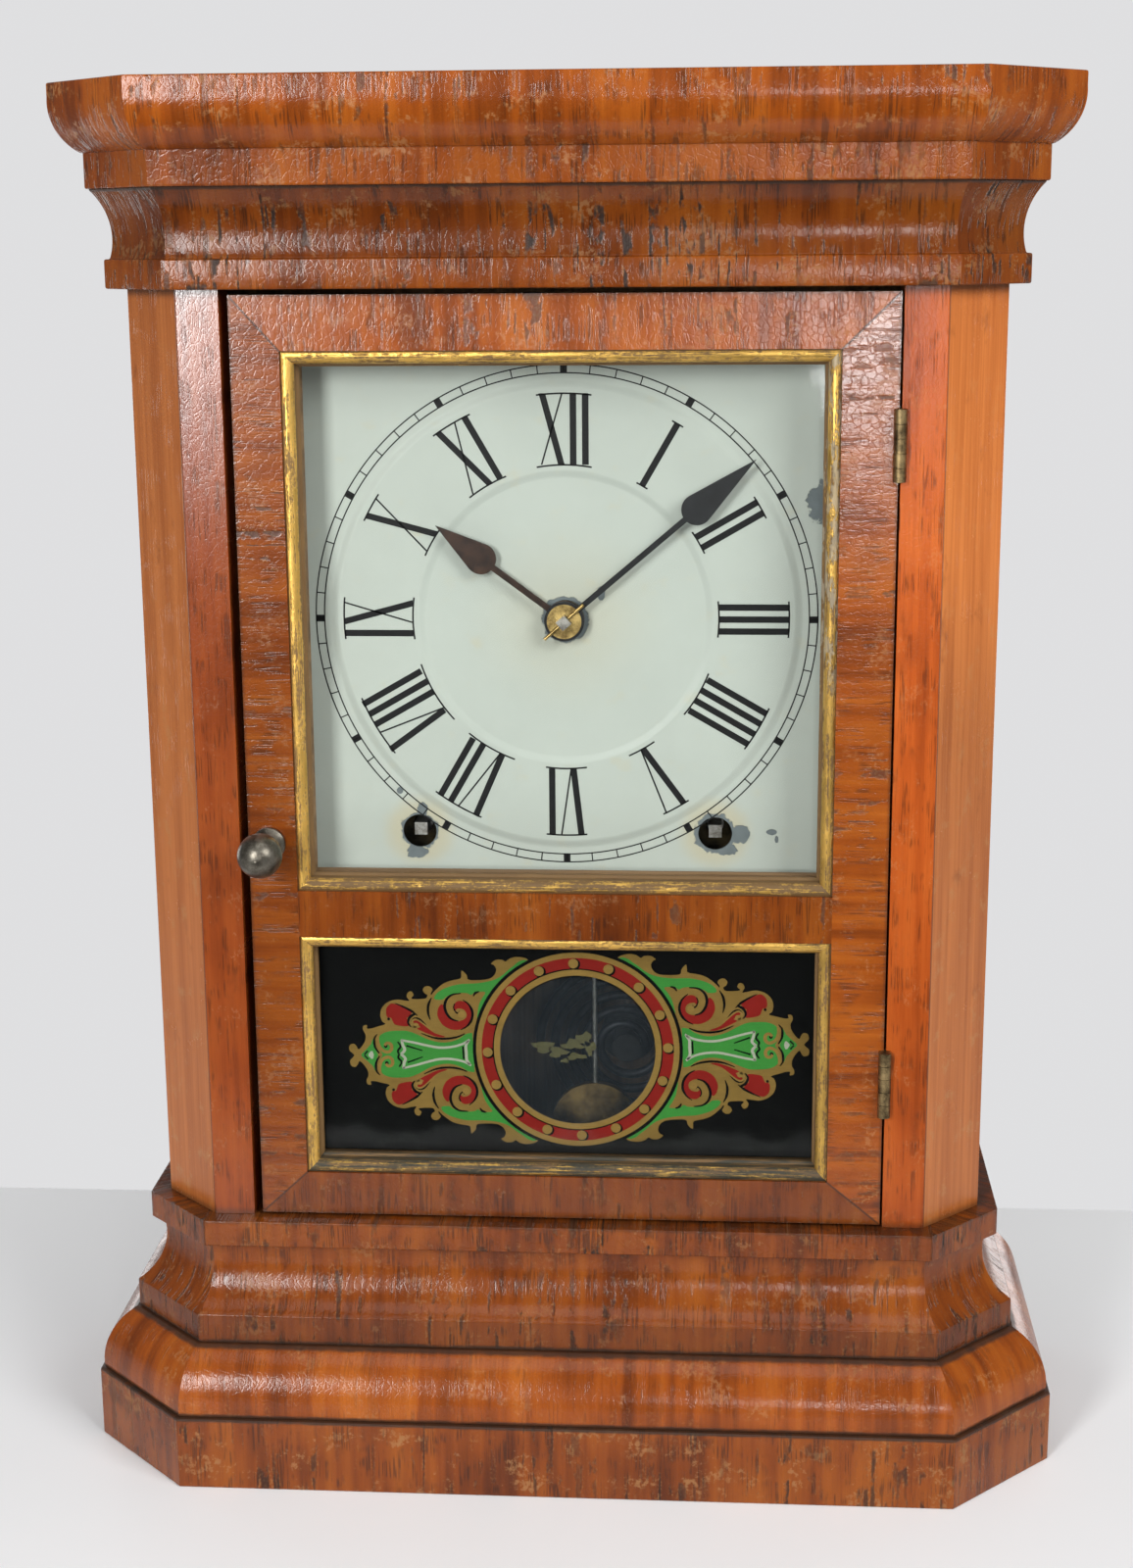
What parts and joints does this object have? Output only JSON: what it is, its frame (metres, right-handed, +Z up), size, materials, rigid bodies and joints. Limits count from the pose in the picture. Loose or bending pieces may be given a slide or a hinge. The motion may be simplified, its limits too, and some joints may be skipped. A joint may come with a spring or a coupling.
{
  "type": "mantel clock",
  "caption": "Cottage mantel clock: canted veneered case, glazed door with painted tablet, Roman dial, spring-driven time-and-strike movement, pendulum and coiled gong.",
  "frame": {"origin": "on the floor under the middle of the footprint", "axes": "+Z up, -Y towards the viewer of the dial, +X to the viewer's right"},
  "size_m": [0.2646, 0.1006, 0.368],
  "materials": {
    "veneer": "aged glossy varnish",
    "case_wood": "bare softwood",
    "gilt": "worn gold leaf",
    "clear_glass": "clear",
    "painted_glass": "painted behind, with a clear round window",
    "dial_paint": "aged oil paint",
    "dark_steel": "blackened",
    "brass": "aged",
    "knob_bronze": "dull, tarnished",
    "steel": "satin",
    "cast_iron": "japanned"
  },
  "bodies": {
    "case": {"base_frame": "case_wood", "plinth_moulding": "veneer", "base_ovolo_moulding": "veneer", "base_cove_moulding": "veneer", "base_shelf": "veneer", "corner_posts": "veneer", "side_boards": "case_wood", "back_board": "case_wood", "back_board_screws": "steel", "header_rail": "case_wood", "top_board": "case_wood", "cornice_cove_moulding": "veneer", "crown_ovolo_moulding": "veneer", "hinge_case_leaves": "brass", "hinge_pins": "brass", "dial_plate": "dial_paint", "dial_battens": "case_wood", "dial_screws": "steel", "movement_front_plate": "brass", "movement_back_plate": "brass", "movement_pillars": "steel", "movement_blocks": "case_wood", "movement_screws": "steel", "mainsprings": "steel", "suspension_stud": "brass", "gong_coil": "steel", "gong_block": "cast_iron"},
    "door": {"door_stiles": "veneer", "door_rails": "veneer", "gilt_mouldings": "gilt", "upper_glass": "clear_glass", "lower_tablet": "painted_glass", "glass_slips": "case_wood", "hinge_door_leaves": "brass"},
    "latch": {"door_knob": "knob_bronze", "latch_hook": "steel"},
    "time_winding": {"time_winding_arbor": "steel"},
    "strike_winding": {"strike_winding_arbor": "steel"},
    "time_main": {"time_main_wheel": "brass"},
    "second": {"second_wheel": "brass"},
    "centre": {"centre_wheel": "brass"},
    "third": {"third_wheel": "brass"},
    "escape": {"escape_wheel": "brass"},
    "verge": {"verge": "steel"},
    "pendulum": {"pendulum_rod": "steel", "pendulum_bob": "brass", "rating_nut": "brass"},
    "minute": {"hand_arbor": "steel", "minute_hand": "dark_steel", "hand_washer": "brass", "hand_pin": "brass"},
    "minute_wheel": {"minute_wheel": "brass"},
    "hour": {"hour_pipe": "brass", "hour_hand": "dark_steel"},
    "strike_main": {"strike_main_wheel": "brass"},
    "strike_second": {"strike_second_wheel": "brass", "count_wheel": "brass"},
    "strike_third": {"strike_third_wheel": "brass"},
    "fly": {"fly": "steel"},
    "hammer": {"hammer": "steel"}
  },
  "joints": [
    {"name": "door_hinge", "type": "hinge", "parent": "case", "child": "door", "pos_m": [0.0845, -0.03095, 0.194], "axis": [0, 0, 1], "range_deg": [0, 150]},
    {"name": "knob_turn", "type": "hinge", "parent": "door", "child": "latch", "pos_m": [-0.077, -0.02375, 0.1755], "axis": [0, 1, 0], "range_deg": [0, 90]},
    {"name": "time_winding", "type": "hinge", "parent": "case", "child": "time_winding", "pos_m": [0.0395, 0.01525, 0.17495], "axis": [0, 1, 0], "continuous": true},
    {"name": "strike_winding", "type": "hinge", "parent": "case", "child": "strike_winding", "pos_m": [-0.0395, 0.01525, 0.17495], "axis": [0, 1, 0], "continuous": true},
    {"name": "third_spin", "type": "hinge", "parent": "case", "child": "third", "pos_m": [0.02393, 0.01525, 0.24361], "axis": [0, 1, 0], "continuous": true},
    {"name": "centre_spin", "type": "hinge", "parent": "case", "child": "centre", "pos_m": [0, 0.01525, 0.23245], "axis": [0, 1, 0], "continuous": true},
    {"name": "escape_spin", "type": "hinge", "parent": "case", "child": "escape", "pos_m": [0.007, 0.01525, 0.25945], "axis": [0, 1, 0], "continuous": true},
    {"name": "second_spin", "type": "hinge", "parent": "case", "child": "second", "pos_m": [0.01861, 0.01525, 0.20906], "axis": [0, 1, 0], "continuous": true},
    {"name": "time_main_spin", "type": "hinge", "parent": "case", "child": "time_main", "pos_m": [0.0395, 0.01525, 0.17495], "axis": [0, 1, 0], "continuous": true},
    {"name": "minute_spin", "type": "hinge", "parent": "case", "child": "minute", "pos_m": [0, 0.01525, 0.23245], "axis": [0, 1, 0], "continuous": true},
    {"name": "minute_wheel_spin", "type": "hinge", "parent": "case", "child": "minute_wheel", "pos_m": [-0.0099, 0.01525, 0.22255], "axis": [0, 1, 0], "continuous": true},
    {"name": "hour_spin", "type": "hinge", "parent": "case", "child": "hour", "pos_m": [0, 0.01525, 0.23245], "axis": [0, 1, 0], "continuous": true},
    {"name": "pendulum_swing", "type": "hinge", "parent": "case", "child": "pendulum", "pos_m": [0.007, 0.01525, 0.27645], "axis": [0, 1, 0], "range_deg": [-3, 3]},
    {"name": "verge_rock", "type": "hinge", "parent": "case", "child": "verge", "pos_m": [0.007, 0.01525, 0.27645], "axis": [0, 1, 0], "range_deg": [-3.2, 3.2]},
    {"name": "strike_third_spin", "type": "hinge", "parent": "case", "child": "strike_third", "pos_m": [-0.03292, 0.01525, 0.23496], "axis": [0, 1, 0], "continuous": true},
    {"name": "strike_second_spin", "type": "hinge", "parent": "case", "child": "strike_second", "pos_m": [-0.02915, 0.01525, 0.21359], "axis": [0, 1, 0], "continuous": true},
    {"name": "strike_main_spin", "type": "hinge", "parent": "case", "child": "strike_main", "pos_m": [-0.0395, 0.01525, 0.17495], "axis": [0, 1, 0], "continuous": true},
    {"name": "fly_spin", "type": "hinge", "parent": "case", "child": "fly", "pos_m": [-0.02779, 0.01525, 0.25408], "axis": [0, 1, 0], "continuous": true},
    {"name": "hammer_lift", "type": "hinge", "parent": "case", "child": "hammer", "pos_m": [0, 0.01525, 0.17195], "axis": [0, 1, 0], "range_deg": [-15, 0]}
  ],
  "couplings": [
    {"joint": "centre_spin", "follows": "third_spin", "ratio": -0.1},
    {"joint": "escape_spin", "follows": "third_spin", "ratio": -11},
    {"joint": "second_spin", "follows": "third_spin", "ratio": 0.0125},
    {"joint": "time_main_spin", "follows": "third_spin", "ratio": -0.0013889},
    {"joint": "minute_wheel_spin", "follows": "minute_spin", "ratio": -0.33333},
    {"joint": "hour_spin", "follows": "minute_spin", "ratio": 0.083333},
    {"joint": "verge_rock", "follows": "pendulum_swing", "ratio": 1},
    {"joint": "strike_second_spin", "follows": "strike_third_spin", "ratio": -0.14815},
    {"joint": "strike_main_spin", "follows": "strike_third_spin", "ratio": 0.016461},
    {"joint": "fly_spin", "follows": "strike_third_spin", "ratio": -8}
  ]
}
